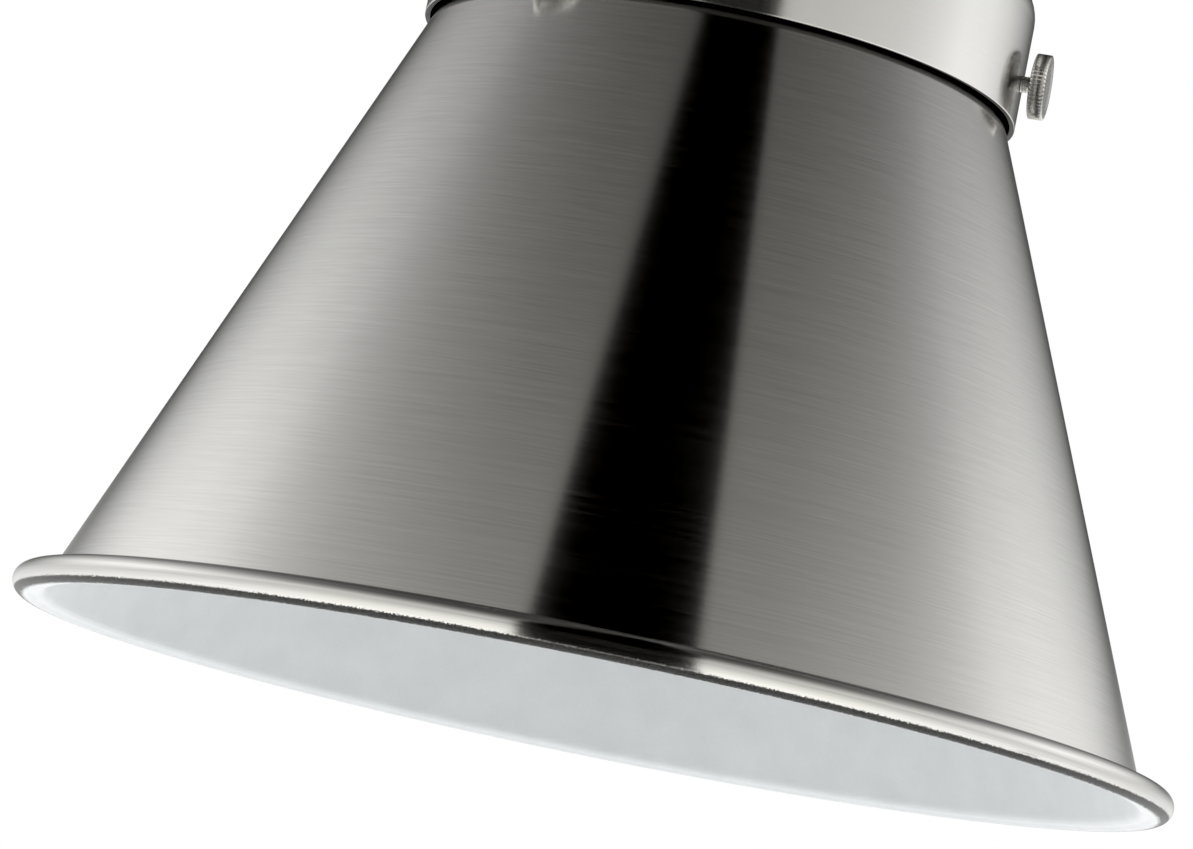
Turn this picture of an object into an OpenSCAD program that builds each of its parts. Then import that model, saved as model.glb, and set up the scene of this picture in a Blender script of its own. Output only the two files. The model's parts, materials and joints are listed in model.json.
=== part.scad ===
// Pharmacy floor lamp. Millimetres, +Z up. The pole axis meets the floor at the origin,
// and the arm carries the head towards -X.

/* [Shade] */
// Outside diameter of the rolled rim
shade_d = 203.2; // [150:0.1:300]
// Slope of the cone's side from its axis, in degrees
shade_angle = 21.9; // [15:0.1:35]
// Sheet thickness of the cone
shade_wall = 0.8; // [0.6:0.1:1.5]
// Radius of the rolled bead's round section
bead_r = 2.4; // [1.5:0.1:4]
// Tilt of the head at rest, in degrees
head_tilt = 11.3; // [0:0.1:45]

/* [Shade holder] */
// Outside diameter of the holder cup
collar_d = 105.8; // [80:0.1:140]
// Straight height of the holder, below its rounded shoulder
collar_h = 19; // [14:0.5:35]
// Radius of the holder's rounded shoulder
collar_fillet = 7; // [3:0.5:12]
// Height of the thumbscrews above the holder's lower edge
screw_up = 7.2; // [6:0.1:12]
// Diameter of a shade thumbscrew's head
screw_head_d = 11.5; // [8:0.1:16]
// Thickness of a shade thumbscrew's head
screw_head_t = 2.8; // [2.5:0.1:6]
// Turn of the first shade thumbscrew towards the front (-Y), in degrees
screw_turn = 11; // [-30:1:60]
// Diameter of a shade thumbscrew's shank
screw_d = 2.9; // [2.5:0.1:4]

/* [Lamp head] */
// Outside diameter of the husk over the lamp holder
husk_d = 42; // [40:0.5:60]
// Height of the husk
husk_h = 48; // [46:0.5:70]
// Overall length of the bulb
bulb_len = 108; // [80:1:115]
// Diameter of the bulb
bulb_d = 60; // [45:1:64]

/* [Arm] */
// Distance from the pole axis to the head's tilt pivot
reach = 300; // [260:5:420]
// Height of the tilt pivot above the floor
pivot_z = 1250; // [1050:5:1500]
// Outside diameter of the arm and of the inner pole
arm_d = 12.7; // [11:0.1:16]
// Radius of the arm's bend on its centre line
bend_r = 55; // [40:1:80]

/* [Pole] */
// Outside diameter of the outer pole
pole_d = 19.05; // [17:0.05:25]
// Height of the outer pole's top above the floor
pole_top = 766; // [600:1:900]
// Length of the inner pole below the pole lock
engage = 286; // [200:1:350]

/* [Base] */
// Diameter of the base
base_d = 254; // [200:1:320]
// Height of the base's straight side
base_side = 16; // [15.5:0.5:24]
// Rise of the base's top from its edge to its middle
base_rise = 6; // [2:0.5:14]

/* [Fits and clearances] */
// Radial play of a turning or sliding fit
run_fit = 0.05; // [0.02:0.01:0.1]
// Radial room of a fixed pin in its hole
seat_gap = 0.1; // [0.05:0.01:0.2]
// Room between bodies that move past each other
body_gap = 0.3; // [0.3:0.05:0.6]

/* [Hidden] */
$fn = 96;
// shade and holder, heights above the middle plane of the rolled rim
bead_c = shade_d / 2 - bead_r;
cone_r0 = bead_c - bead_r - 0.5;
collar_r = collar_d / 2;
collar_wall = 1;
neck_gap = 1.5;
neck_r = collar_r - collar_wall - neck_gap;
cone_top = (cone_r0 - neck_r) / tan(shade_angle);
collar_low = cone_top - 1.9;
collar_shoulder = collar_low + collar_h;
collar_top = collar_shoulder + collar_fillet;
screw_z = collar_low + screw_up;
lip_z = screw_z + screw_d / 2 + body_gap;
lip_r = collar_r - collar_wall - body_gap;
// husk, lamp holder and bulb
husk_r = husk_d / 2;
husk_wall = 1.2;
flange_r = husk_r + 8.5;
flange_screw_r = husk_r + 4.5;
husk_top = collar_top + husk_h;
socket_r = husk_r - 4;
nut_t = 3.7;
socket_top = husk_top - husk_wall - nut_t - 2 * body_gap;
contact_z = socket_top - 20.5;
shaft_z = socket_top - 13;
nipple_r = 5;
shell_r = 13.8;
cap_r = 13.05;
bulb_r = bulb_d / 2;
bulb_tip = contact_z - bulb_len;
globe_z = bulb_tip + bulb_r;
globe_end = contact_z - 40;
// knuckle
pivot_up = husk_top + 26;
eye_r = 9;
tongue_t = 6;
pin_r = 2.5;
ear_t = 4.5;
ear_in = tongue_t / 2 + body_gap;
ear_out = ear_in + ear_t;
fork_top = pivot_z + 22;
stem_r = 5;
stem_top = fork_top + 17.5;
// arm
arm_r = arm_d / 2;
arm_wall = 1;
ferrule_r = arm_r + 3.15;
ferrule_low = fork_top + body_gap;
ferrule_seat = fork_top + 14;
tube_low = ferrule_seat + 4;
arm_z = tube_low + 25 + bend_r;
hub_r = 12;
hub_half = 12;
// pole
pole_r = pole_d / 2;
pole_wall = 1.2;
inner_top = arm_z - hub_half - 4;
inner_low = pole_top - engage;
lock_r = pole_r + 4.5;
lock_h = 26;
lock_low = pole_top - 14;
lock_screw_z = lock_low + lock_h - 6;
// base
base_r = base_d / 2;
cover_wall = 1.2;
cover_low = 1.2;
cover_fillet = 5;
cover_edge = base_side + cover_fillet;
cover_mid = cover_edge + base_rise;
pad_t = 3;
base_nipple_r = 6.4;
inlet_z = 9;
inlet_r = 3.1;

// ---------------------------------------------------------------- helpers

// Places a piece drawn about the shade's axis, with the rim's middle plane at height 0.
module in_head() {
    translate([-reach, 0, pivot_z]) rotate([0, head_tilt, 0]) translate([0, 0, -pivot_up])
        children();
}

// Half section of a cup with a rounded shoulder: radius, lower edge, shoulder, fillet.
module cup_half(r, low, shoulder, fillet) {
    polygon([[0, low], [r, low], [r, shoulder], [r - fillet, shoulder + fillet],
             [0, shoulder + fillet]]);
    intersection() {
        translate([r - fillet, shoulder]) circle(r = fillet);
        translate([r - fillet, shoulder]) square([fillet + 1, fillet + 1]);
    }
}

module ring(r_out, r_in, low, high) {
    translate([0, 0, low]) difference() {
        cylinder(r = r_out, h = high - low);
        translate([0, 0, -1]) cylinder(r = r_in, h = high - low + 2);
    }
}

module rod(r, low, high) {
    translate([0, 0, low]) cylinder(r = r, h = high - low);
}

// Straight-knurled disc standing on z = 0, with a small chamfer at both ends.
module knurled(r, t, teeth, depth) {
    intersection() {
        linear_extrude(height = t)
            polygon([for (i = [0 : 2 * teeth - 1])
                let (a = i * 180 / teeth, k = (i % 2 == 0) ? r : r - depth)
                [k * cos(a), k * sin(a)]]);
        rotate_extrude() polygon([[0, 0], [r - 0.5, 0], [r + 0.05, 0.5], [r + 0.05, t - 0.5],
                                  [r - 0.5, t], [0, t]]);
    }
}

// ---------------------------------------------------------------- base

module base_pad() {
    color([0.08, 0.08, 0.09]) rod(base_r - 2, 0, pad_t);
}

module base_weight() {
    color([0.22, 0.22, 0.23]) difference() {
        union() {
            rod(base_r - 9, pad_t + 0.2, base_side + 2.2);
            rod(22, base_side, cover_mid - cover_wall - 0.1);
        }
        rod(base_nipple_r + seat_gap, 0, cover_mid);
        rod(17, 0, 12);
        translate([0, -4.5, 0]) cube([base_r, 9, 14]);
    }
}

module base_cover() {
    color([0.72, 0.71, 0.69]) difference() {
        rotate_extrude() difference() {
            union() {
                cup_half(base_r, cover_low, base_side, cover_fillet);
                polygon([[0, base_side], [base_r - cover_fillet, cover_edge],
                         [24, cover_mid], [0, cover_mid]]);
            }
            union() {
                translate([0, -cover_wall]) cup_half(base_r - cover_wall, cover_low, base_side + cover_wall,
                         cover_fillet - cover_wall);
                polygon([[0, base_side - 1], [base_r - cover_fillet, cover_edge - cover_wall],
                         [24, cover_mid - cover_wall], [0, cover_mid - cover_wall]]);
                square([base_nipple_r + seat_gap, cover_mid + 1]);
            }
        }
        translate([base_r - 4, 0, inlet_z]) rotate([0, 90, 0]) cylinder(r = 4.6, h = 8);
    }
}

module base_nipple() {
    color([0.7, 0.6, 0.35]) ring(base_nipple_r, 4.4, 5, cover_mid + 5.5);
}

module base_nut() {
    color([0.6, 0.6, 0.58]) difference() {
        translate([0, 0, 5.4]) cylinder(r = 11, h = 5, $fn = 6);
        rod(base_nipple_r + seat_gap, 0, 12);
    }
}

module base_washer() {
    color([0.62, 0.62, 0.6]) ring(15, base_nipple_r + seat_gap, 10.4, 12);
}

module cord_bushing() {
    color([0.05, 0.05, 0.05]) translate([base_r, 0, inlet_z]) rotate([0, 90, 0])
        rotate_extrude() polygon([[inlet_r, -4], [5.3, -4], [4.5, -2], [4.5, 0], [6, 0],
                                  [6, 1], [5.3, 2], [inlet_r, 2]]);
}

module pole_ferrule() {
    low = cover_mid;
    color([0.72, 0.71, 0.69]) rotate_extrude() difference() {
        union() {
            polygon([[0, low], [19, low], [19, low + 4], [pole_r + 4.5, low + 10],
                     [pole_r + 3, low + 18], [0, low + 18]]);
        }
        square([base_nipple_r + seat_gap, low + 19]);
        translate([0, low + 6]) square([pole_r + seat_gap, 20]);
    }
}

// ---------------------------------------------------------------- pole

module outer_pole() {
    color([0.74, 0.73, 0.71]) ring(pole_r, pole_r - pole_wall, cover_mid + 6.2, pole_top);
}

module lock_collar() {
    color([0.72, 0.71, 0.69]) difference() {
        rotate_extrude() difference() {
            polygon([[0, lock_low], [lock_r - 1, lock_low], [lock_r, lock_low + 1],
                     [lock_r, lock_low + lock_h - 1.5], [lock_r - 1.5, lock_low + lock_h],
                     [0, lock_low + lock_h]]);
            translate([0, lock_low - 1]) square([pole_r + seat_gap, 15.2]);
            square([pole_r - 0.5, pole_top + 50]);
        }
        translate([0, 0, lock_screw_z]) rotate([0, 90, 0])
            cylinder(r = 2 + run_fit, h = lock_r + 5);
    }
}

module lock_bushing() {
    color([0.1, 0.1, 0.1])
        ring(pole_r - 0.6, arm_r + run_fit, pole_top + 0.3, lock_low + lock_h - 0.3);
}

module lock_screw() {
    color([0.7, 0.69, 0.67]) translate([0, 0, lock_screw_z]) rotate([0, 90, 0]) {
        rod(2, pole_r - 0.6 + body_gap, lock_r + 3);
        rod(4.2, lock_r + 1, lock_r + 3.4);
        translate([0, 0, lock_r + 3.2]) knurled(8.5, 8, 40, 0.5);
    }
}

module inner_pole() {
    color([0.74, 0.73, 0.71]) ring(arm_r, arm_r - arm_wall, inner_low, inner_top);
}

module pole_glide() {
    glide_r = pole_r - pole_wall - run_fit;
    color([0.1, 0.1, 0.1]) rotate_extrude()
        polygon([[arm_r - arm_wall, inner_low - 2.5], [glide_r, inner_low - 2.5],
                 [glide_r, inner_low + 22], [arm_r + seat_gap, inner_low + 22],
                 [arm_r + seat_gap, inner_low - 0.1], [arm_r - arm_wall, inner_low - 0.1]]);
}

module pole_spigot() {
    low = inner_top - 14;
    shoulder = arm_z - hub_half - 1.5;
    color([0.72, 0.71, 0.69]) rotate_extrude() difference() {
        polygon([[0, low], [arm_r + 2.2, low], [arm_r + 3.2, low + 1],
                 [arm_r + 3.2, shoulder - 3], [hub_r - 0.5, shoulder - 1], [hub_r - 0.5, shoulder],
                 [6, shoulder], [6, arm_z + hub_half + 3], [0, arm_z + hub_half + 3]]);
        square([3, arm_z + hub_half + 4]);
        translate([0, low - 1]) square([arm_r + seat_gap, inner_top - low + 1.1]);
    }
}

module hub_washer() {
    color([0.9, 0.9, 0.86])
        ring(hub_r - 1, 6 + seat_gap, arm_z - hub_half - 1.5, arm_z - hub_half - body_gap);
}

module hub_cap() {
    low = arm_z + hub_half + body_gap;
    color([0.72, 0.71, 0.69]) difference() {
        rotate_extrude() intersection() {
            translate([0, low - 8]) circle(r = 16);
            translate([0, low]) square([hub_r - 0.5, 12]);
        }
        rod(6 + seat_gap, low - 1, arm_z + hub_half + 3.2);
    }
}

// ---------------------------------------------------------------- arm

module swivel_hub() {
    color([0.72, 0.71, 0.69]) difference() {
        union() {
            rotate_extrude() polygon([[0, arm_z - hub_half], [hub_r - 1, arm_z - hub_half],
                [hub_r, arm_z - hub_half + 1], [hub_r, arm_z + hub_half - 1],
                [hub_r - 1, arm_z + hub_half], [0, arm_z + hub_half]]);
            translate([0, 0, arm_z]) rotate([0, -90, 0]) cylinder(r = arm_r + 2.7, h = 28);
        }
        rod(6 + run_fit, arm_z - hub_half - 1, arm_z + hub_half + 1);
        translate([-13, 0, arm_z]) rotate([0, -90, 0]) cylinder(r = arm_r + seat_gap, h = 20);
        translate([-10, 0, arm_z]) rotate([0, 90, 0]) cylinder(r = 2.5, h = 6);
        translate([-21, 0, arm_z - 20]) cylinder(r = 1.6, h = 20);
    }
}

module hub_setscrew() {
    color([0.15, 0.15, 0.15]) translate([-21, 0, 0]) difference() {
        rod(1.5, arm_z - arm_r - 4.2, arm_z - arm_r - 0.1);
        translate([0, 0, arm_z - arm_r - 5]) cylinder(r = 0.85, h = 2.2, $fn = 6);
    }
}

module arm_tube() {
    // leaves the hub, runs level, then turns down to the head
    color([0.74, 0.73, 0.71]) {
        difference() {
            union() {
                translate([-13.5, 0, arm_z]) rotate([0, -90, 0])
                    cylinder(r = arm_r, h = reach - bend_r - 13.5);
                translate([-reach + bend_r, 0, arm_z - bend_r]) rotate([90, 0, 0])
                    rotate_extrude(start = 90, angle = 90) translate([bend_r, 0]) circle(r = arm_r);
                translate([-reach, 0, 0]) rod(arm_r, tube_low, arm_z - bend_r);
            }
            translate([-13.4, 0, arm_z]) rotate([0, -90, 0])
                cylinder(r = arm_r - arm_wall, h = reach - bend_r - 13.6);
            translate([-reach + bend_r, 0, arm_z - bend_r]) rotate([90, 0, 0])
                rotate_extrude(start = 90, angle = 90) translate([bend_r, 0])
                circle(r = arm_r - arm_wall);
            translate([-reach, 0, 0]) rod(arm_r - arm_wall, tube_low - 1, arm_z - bend_r);
            translate([0, 0, arm_z]) rotate([0, -90, 0]) cylinder(r = arm_r - arm_wall, h = 20);
        }
    }
}

module arm_ferrule() {
    color([0.72, 0.71, 0.69]) translate([-reach, 0, 0]) rotate_extrude() difference() {
        polygon([[0, ferrule_low], [ferrule_r - 0.8, ferrule_low], [ferrule_r, ferrule_low + 0.8],
                 [ferrule_r, ferrule_seat + 11], [arm_r + 1.2, ferrule_seat + 14],
                 [0, ferrule_seat + 14]]);
        square([stem_r + run_fit, ferrule_seat + 1]);
        translate([0, ferrule_seat]) square([arm_r + seat_gap, 20]);
    }
}

// ---------------------------------------------------------------- knuckle

module head_fork() {
    color([0.72, 0.71, 0.69]) translate([-reach, 0, 0]) difference() {
        union() {
            for (s = [-1, 1]) {
                translate([0, s > 0 ? ear_out : -ear_in, pivot_z]) rotate([90, 0, 0])
                    cylinder(r = eye_r, h = ear_t);
                translate([-eye_r, s > 0 ? ear_in : -ear_out, pivot_z])
                    cube([2 * eye_r, ear_t, 13.5]);
            }
            rod(eye_r + 2.4, pivot_z + 13, fork_top);
            rod(stem_r, fork_top - 1, stem_top);
        }
        ring(stem_r + 2, stem_r - 0.6, ferrule_seat + 0.3, ferrule_seat + 1.4);
        rod(2.2, pivot_z + 10, stem_top + 1);
        translate([0, ear_out + 5, pivot_z]) rotate([90, 0, 0])
            cylinder(r = pin_r + seat_gap, h = 2 * ear_out + 10);
    }
}

module swivel_clip() {
    color([0.3, 0.3, 0.3]) translate([-reach, 0, 0])
        ring(arm_r - 0.25, stem_r - 0.5, ferrule_seat + 0.4, ferrule_seat + 1.3);
}

module pivot_screw() {
    // slotted cheese head on the near ear, shank through both ears
    color([0.75, 0.74, 0.72]) translate([-reach, 0, pivot_z]) rotate([90, 0, 0]) difference() {
        union() {
            rod(pin_r, -ear_out - 5.2, ear_out + 1.2);
            rod(4.6, ear_out + 1, ear_out + 4);
        }
        translate([-6, -0.6, ear_out + 2.8]) cube([12, 1.2, 3]);
    }
}

module pivot_nut() {
    color([0.75, 0.74, 0.72]) translate([-reach, ear_out + 1, pivot_z]) rotate([-90, 0, 0])
        difference() {
            union() {
                cylinder(r = 5, h = 4, $fn = 6);
                rotate_extrude() intersection() {
                    translate([0, 2]) circle(r = 4.2);
                    translate([0, 3]) square([5, 5]);
                }
            }
            rod(pin_r + seat_gap, -1, 4.4);
        }
}

module pivot_washers() {
    color([0.6, 0.6, 0.58]) translate([-reach, 0, pivot_z]) rotate([90, 0, 0]) {
        ring(5.6, pin_r + seat_gap, ear_out + 0.02, ear_out + 0.98);
        ring(5.6, pin_r + seat_gap, -ear_out - 0.98, -ear_out - 0.02);
    }
}

// ---------------------------------------------------------------- head

module head_tongue() {
    color([0.72, 0.71, 0.69]) in_head() difference() {
        union() {
            rotate_extrude() polygon([[0, husk_top], [13, husk_top], [13, husk_top + 2],
                                      [9, husk_top + 6], [0, husk_top + 6]]);
            translate([-eye_r, -tongue_t / 2, husk_top + 4])
                cube([2 * eye_r, tongue_t, pivot_up - husk_top - 4]);
            translate([0, tongue_t / 2, pivot_up]) rotate([90, 0, 0])
                cylinder(r = eye_r, h = tongue_t);
        }
        rod(nipple_r + seat_gap, husk_top - 1, husk_top + 5.2);
        translate([0, 10, pivot_up]) rotate([90, 0, 0]) cylinder(r = pin_r + run_fit, h = 20);
    }
}

module head_nipple() {
    color([0.7, 0.6, 0.35]) in_head() ring(nipple_r, 3.6, socket_top - 7, husk_top + 5);
}

module head_nut() {
    color([0.7, 0.6, 0.35]) in_head() difference() {
        translate([0, 0, socket_top + body_gap]) cylinder(r = 8.5, h = nut_t, $fn = 6);
        rod(nipple_r + seat_gap, socket_top - 1, husk_top);
    }
}

module husk() {
    f = 8;
    color([0.72, 0.71, 0.69]) in_head() difference() {
        rotate_extrude() difference() {
            union() {
                cup_half(husk_r, collar_top + 0.02, husk_top - f, f);
                translate([0, collar_top + 0.02]) square([flange_r, husk_wall - 0.02]);
            }
            translate([0, -1]) cup_half(husk_r - husk_wall, collar_top, husk_top - f + 1,
                     f - husk_wall);
            square([nipple_r + seat_gap, husk_top + 1]);
        }
        for (a = [45 : 90 : 315]) rotate([0, 0, a]) translate([0, 0, husk_top - 24])
            rotate([90, 0, 0]) {
                translate([0, 0, 0]) cylinder(r = 1.6, h = husk_r + 4);
                translate([0, 11, 0]) cylinder(r = 1.6, h = husk_r + 4);
                translate([-1.6, 0, 0]) cube([3.2, 11, husk_r + 4]);
            }
        translate([0, 0, shaft_z]) rotate([0, -90, 0]) cylinder(r = 4, h = husk_r + 4);
        for (a = [30 : 120 : 270]) rotate([0, 0, a])
            translate([flange_screw_r, 0, collar_top - 1]) cylinder(r = 1.6, h = 4);
    }
}

module flange_screws() {
    // three screws and nuts hold the husk's flange to the holder
    color([0.65, 0.64, 0.62]) in_head() for (a = [30 : 120 : 270]) rotate([0, 0, a])
        translate([flange_screw_r, 0, collar_top]) {
            rod(1.5, -4.6, husk_wall + 0.1);
            rotate_extrude() intersection() {
                translate([0, husk_wall - 2]) circle(r = 3.6);
                translate([0, husk_wall]) square([4, 3]);
            }
            translate([0, 0, -3.6]) difference() {
                cylinder(r = 3.1, h = 2.4, $fn = 6);
                translate([0, 0, -1]) cylinder(r = 1.4, h = 5);
            }
        }
}

module collar() {
    color([0.75, 0.74, 0.72]) in_head() difference() {
        rotate_extrude() difference() {
            cup_half(collar_r, collar_low, collar_shoulder, collar_fillet);
            translate([0, -1]) cup_half(collar_r - collar_wall, collar_low, collar_shoulder + 1,
                     collar_fillet - collar_wall);
            square([husk_r - husk_wall, collar_top + 1]);
        }
        for (a = [0, 120, 240]) rotate([0, 0, a - screw_turn]) translate([0, 0, screw_z]) rotate([0, 90, 0])
            cylinder(r = screw_d / 2 + run_fit, h = collar_r + 4);
        for (a = [30 : 120 : 270]) rotate([0, 0, a])
            translate([flange_screw_r, 0, collar_top - 3]) cylinder(r = 1.6, h = 6);
    }
}

module shade() {
    // spun cone: rolled bead at the rim, straight neck and a turned-out lip at the top
    t = shade_wall / cos(shade_angle);
    k = tan(shade_angle);
    color([0.78, 0.77, 0.75]) in_head() rotate_extrude() union() {
        difference() {
            translate([bead_c, 0]) circle(r = bead_r);
            translate([bead_c, 0]) circle(r = bead_r - shade_wall);
        }
        polygon([[cone_r0 - t + 0.4 * k, -0.4], [cone_r0 + 0.4 * k, -0.4],
                 [bead_c - bead_r + 0.15, -0.4], [bead_c - bead_r + 0.15, 0.5],
                 [cone_r0 - 0.5 * k, 0.5],
                 [neck_r, cone_top], [neck_r, lip_z], [lip_r, lip_z], [lip_r, lip_z + shade_wall],
                 [neck_r - shade_wall, lip_z + shade_wall], [neck_r - shade_wall, cone_top]]);
    }
}

module socket_body() {
    color([0.08, 0.08, 0.08]) in_head() difference() {
        rod(socket_r, contact_z - 28, socket_top);
        rod(shell_r + 0.2, contact_z - 29, contact_z + 1.8);
        rod(nipple_r + seat_gap, socket_top - 7.5, socket_top + 1);
        translate([-8, 0, shaft_z]) rotate([0, -90, 0]) cylinder(r = 2.5 + run_fit, h = 20);
    }
}

module screw_shell() {
    color([0.78, 0.62, 0.28]) in_head() difference() {
        rod(shell_r, contact_z - 26.5, contact_z + 1.5);
        rod(shell_r - 0.4, contact_z - 27, contact_z + 0.9);
        rod(6, contact_z, contact_z + 3);
    }
}

module centre_contact() {
    color([0.78, 0.62, 0.28]) in_head() rod(4, contact_z + 0.3, contact_z + 1.7);
}

module bulb_globe() {
    color([0.93, 0.93, 0.9, 0.9]) in_head() rotate_extrude() difference() {
        union() {
            intersection() {
                translate([0, globe_z]) circle(r = bulb_r);
                translate([0, bulb_tip - 1]) square([bulb_r + 1, bulb_d + 2]);
            }
            polygon([[0, globe_z], [bulb_r * 0.9, globe_z + bulb_r * 0.43], [17, globe_end],
                     [0, globe_end]]);
        }
        union() {
            intersection() {
                translate([0, globe_z]) circle(r = bulb_r - 1.2);
                translate([0, bulb_tip - 1]) square([bulb_r + 1, bulb_d + 2]);
            }
            polygon([[0, globe_z], [bulb_r * 0.9 - 1.2, globe_z + bulb_r * 0.43 - 0.4],
                     [15.8, globe_end + 1], [0, globe_end + 1]]);
        }
    }
}

module bulb_housing() {
    color([0.88, 0.88, 0.86]) in_head() rotate_extrude()
        polygon([[0, globe_end - 3], [14.8, globe_end - 3], [14.8, globe_end],
                 [16.6, globe_end + 0.05], [13.4, globe_end + 11], [11.9, globe_end + 11],
                 [11.9, globe_end + 28], [0, globe_end + 28]]);
}

module bulb_cap() {
    // screw cap with a shallow rolled thread
    n = 5;
    pitch = 3.6;
    low = globe_end + 11.3;
    color([0.75, 0.75, 0.74]) in_head() rotate_extrude()
        polygon(concat([[12, low]],
            [for (i = [0 : n - 1]) each [[cap_r, low + 1.2 + i * pitch],
                                         [cap_r - 0.8, low + 1.2 + (i + 0.5) * pitch]]],
            [[12.7, low + 1.2 + n * pitch], [8, contact_z - 3], [5.5, contact_z - 3],
             [5.5, contact_z - 4], [8, contact_z - 4.4], [12, low + n * pitch]]));
}

module bulb_contact() {
    color([0.3, 0.3, 0.3]) in_head() rotate_extrude()
        polygon([[0, contact_z - 4], [5.4, contact_z - 4], [5.4, contact_z - 3],
                 [4.4, contact_z], [0, contact_z]]);
}

module switch_knob() {
    color([0.72, 0.71, 0.69]) in_head() translate([0, 0, shaft_z]) rotate([0, -90, 0]) {
        rod(2.5, 9, husk_r + 8);
        translate([0, 0, husk_r + 2]) knurled(6.5, 9, 30, 0.5);
    }
}

// One shade thumbscrew: plain shank through the holder's wall, straight-knurled head.
module shade_screw(turn) {
    head_in = collar_r + 2;
    color([0.75, 0.74, 0.72]) in_head() rotate([0, 0, turn - screw_turn]) translate([0, 0, screw_z])
        rotate([0, 90, 0]) {
            rod(screw_d / 2, neck_r + body_gap, head_in + 0.5);
            translate([0, 0, head_in]) knurled(screw_head_d / 2, screw_head_t, 48, 0.35);
        }
}

module shade_screw_a() { shade_screw(0); }
module shade_screw_b() { shade_screw(120); }
module shade_screw_c() { shade_screw(240); }

base_pad();
base_weight();
base_cover();
base_nipple();
base_nut();
base_washer();
cord_bushing();
pole_ferrule();
outer_pole();
lock_collar();
lock_bushing();
lock_screw();
inner_pole();
pole_glide();
pole_spigot();
hub_washer();
hub_cap();
swivel_hub();
hub_setscrew();
arm_tube();
arm_ferrule();
head_fork();
swivel_clip();
pivot_screw();
pivot_nut();
pivot_washers();
head_tongue();
head_nipple();
head_nut();
husk();
flange_screws();
collar();
shade();
socket_body();
screw_shell();
centre_contact();
bulb_globe();
bulb_housing();
bulb_cap();
bulb_contact();
switch_knob();
shade_screw_a();
shade_screw_b();
shade_screw_c();
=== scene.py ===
# %% [markdown]
# # Pharmacy floor lamp
# The lamp is already built as solid parts, and each part rides on a body that can move.
# We load those parts first. They fix every position and size, so nothing here is placed
# by eye.

# %% Load the solid parts
import math
import json
import bpy
import bmesh
from mathutils import Matrix, Vector


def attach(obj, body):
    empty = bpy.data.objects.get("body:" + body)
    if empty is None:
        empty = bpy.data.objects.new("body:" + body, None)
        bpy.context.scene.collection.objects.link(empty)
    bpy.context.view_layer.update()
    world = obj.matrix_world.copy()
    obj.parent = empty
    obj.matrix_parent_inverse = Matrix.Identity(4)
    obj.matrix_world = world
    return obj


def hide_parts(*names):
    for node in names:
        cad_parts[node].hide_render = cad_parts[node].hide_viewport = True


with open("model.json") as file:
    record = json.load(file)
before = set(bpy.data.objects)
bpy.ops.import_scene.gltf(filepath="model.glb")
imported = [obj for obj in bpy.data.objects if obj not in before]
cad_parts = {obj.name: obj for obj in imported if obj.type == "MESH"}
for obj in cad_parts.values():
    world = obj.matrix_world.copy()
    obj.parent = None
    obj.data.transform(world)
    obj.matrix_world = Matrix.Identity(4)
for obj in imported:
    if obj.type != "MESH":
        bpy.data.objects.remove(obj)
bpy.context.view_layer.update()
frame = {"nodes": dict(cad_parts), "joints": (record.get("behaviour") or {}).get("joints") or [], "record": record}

nodes = frame["nodes"]
joints = {j["name"]: j for j in frame["joints"]}
body_of = {n: b for b, ns in frame["record"]["behaviour"]["bodies"].items() for n in ns}
slot_of = {s["node"]: s["material_slot"] for s in frame["record"]["subparts"]}

# %% [markdown]
# The lamp head hangs from a pivot and leans. A turned part is easiest to draw upright,
# about its own axis, so we work out one matrix that carries a piece drawn about the
# shade's axis, with the rim's middle plane at height zero, to its leaning place. Two of
# the shade's thumbscrews point out at right angles to that axis, so it is their cross
# product. The pole and the base stand about the pole's axis, so they need no matrix.

# %% Where the head is
MM = 0.001
screw_axis = Vector(joints["shade_screw_a_turn"]["axis"])
screw_pos = Vector(joints["shade_screw_a_turn"]["pos_m"])
shade_up = screw_axis.cross(Vector(joints["shade_screw_b_turn"]["axis"])).normalized()
lean = math.atan2(shade_up.x, shade_up.z)
HOLDER_R = 52.9
SCREW_UP = 7.2    # from the holder's edge to the thumbscrews
screw_centre = screw_pos - HOLDER_R * MM * screw_axis

RIM_R = 101.6
BEAD_R = 2.4
SHADE_WALL = 0.8
SLOPE = math.radians(21.9)
bead_c = RIM_R - BEAD_R
cone_r0 = bead_c - BEAD_R - 0.5
neck_r = 50.4
cone_top = (cone_r0 - neck_r) / math.tan(SLOPE)
holder_low = cone_top - 1.9
rim_centre = screw_centre - shade_up * (holder_low + SCREW_UP) * MM
head_place = Matrix.Translation(rim_centre) @ Matrix.Rotation(lean, 4, "Y")
upright = Matrix.Identity(4)
print("lean", round(math.degrees(lean), 2), "rim centre", [round(v, 4) for v in rim_centre])

# %% [markdown]
# The camera looks slightly up at the head with a long lens, from a little below the rim,
# so the far inside of the shade shows under the near edge. It is level. A small sideways
# shift puts the head right of the middle without turning the view.

# %% Camera
cam_data = bpy.data.cameras.new("camera")
cam_data.lens = 141.05
cam_data.sensor_width = 36
cam_data.shift_x = -0.0684
cam_data.shift_y = 0.0016
camera = bpy.data.objects.new("camera", cam_data)
bpy.context.collection.objects.link(camera)
look = Vector((0.03498, 0.98916, 0.14264)).normalized()
side = look.cross(Vector((0, 0, 1))).normalized()
up = side.cross(look)
camera.matrix_world = Matrix.Translation(rim_centre + Vector((-13.71, -806.4, -68.5)) * MM) @ \
    Matrix((side, up, -look)).transposed().to_4x4()
bpy.context.scene.camera = camera
print("camera at", [round(v, 3) for v in camera.matrix_world.translation])

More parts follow.
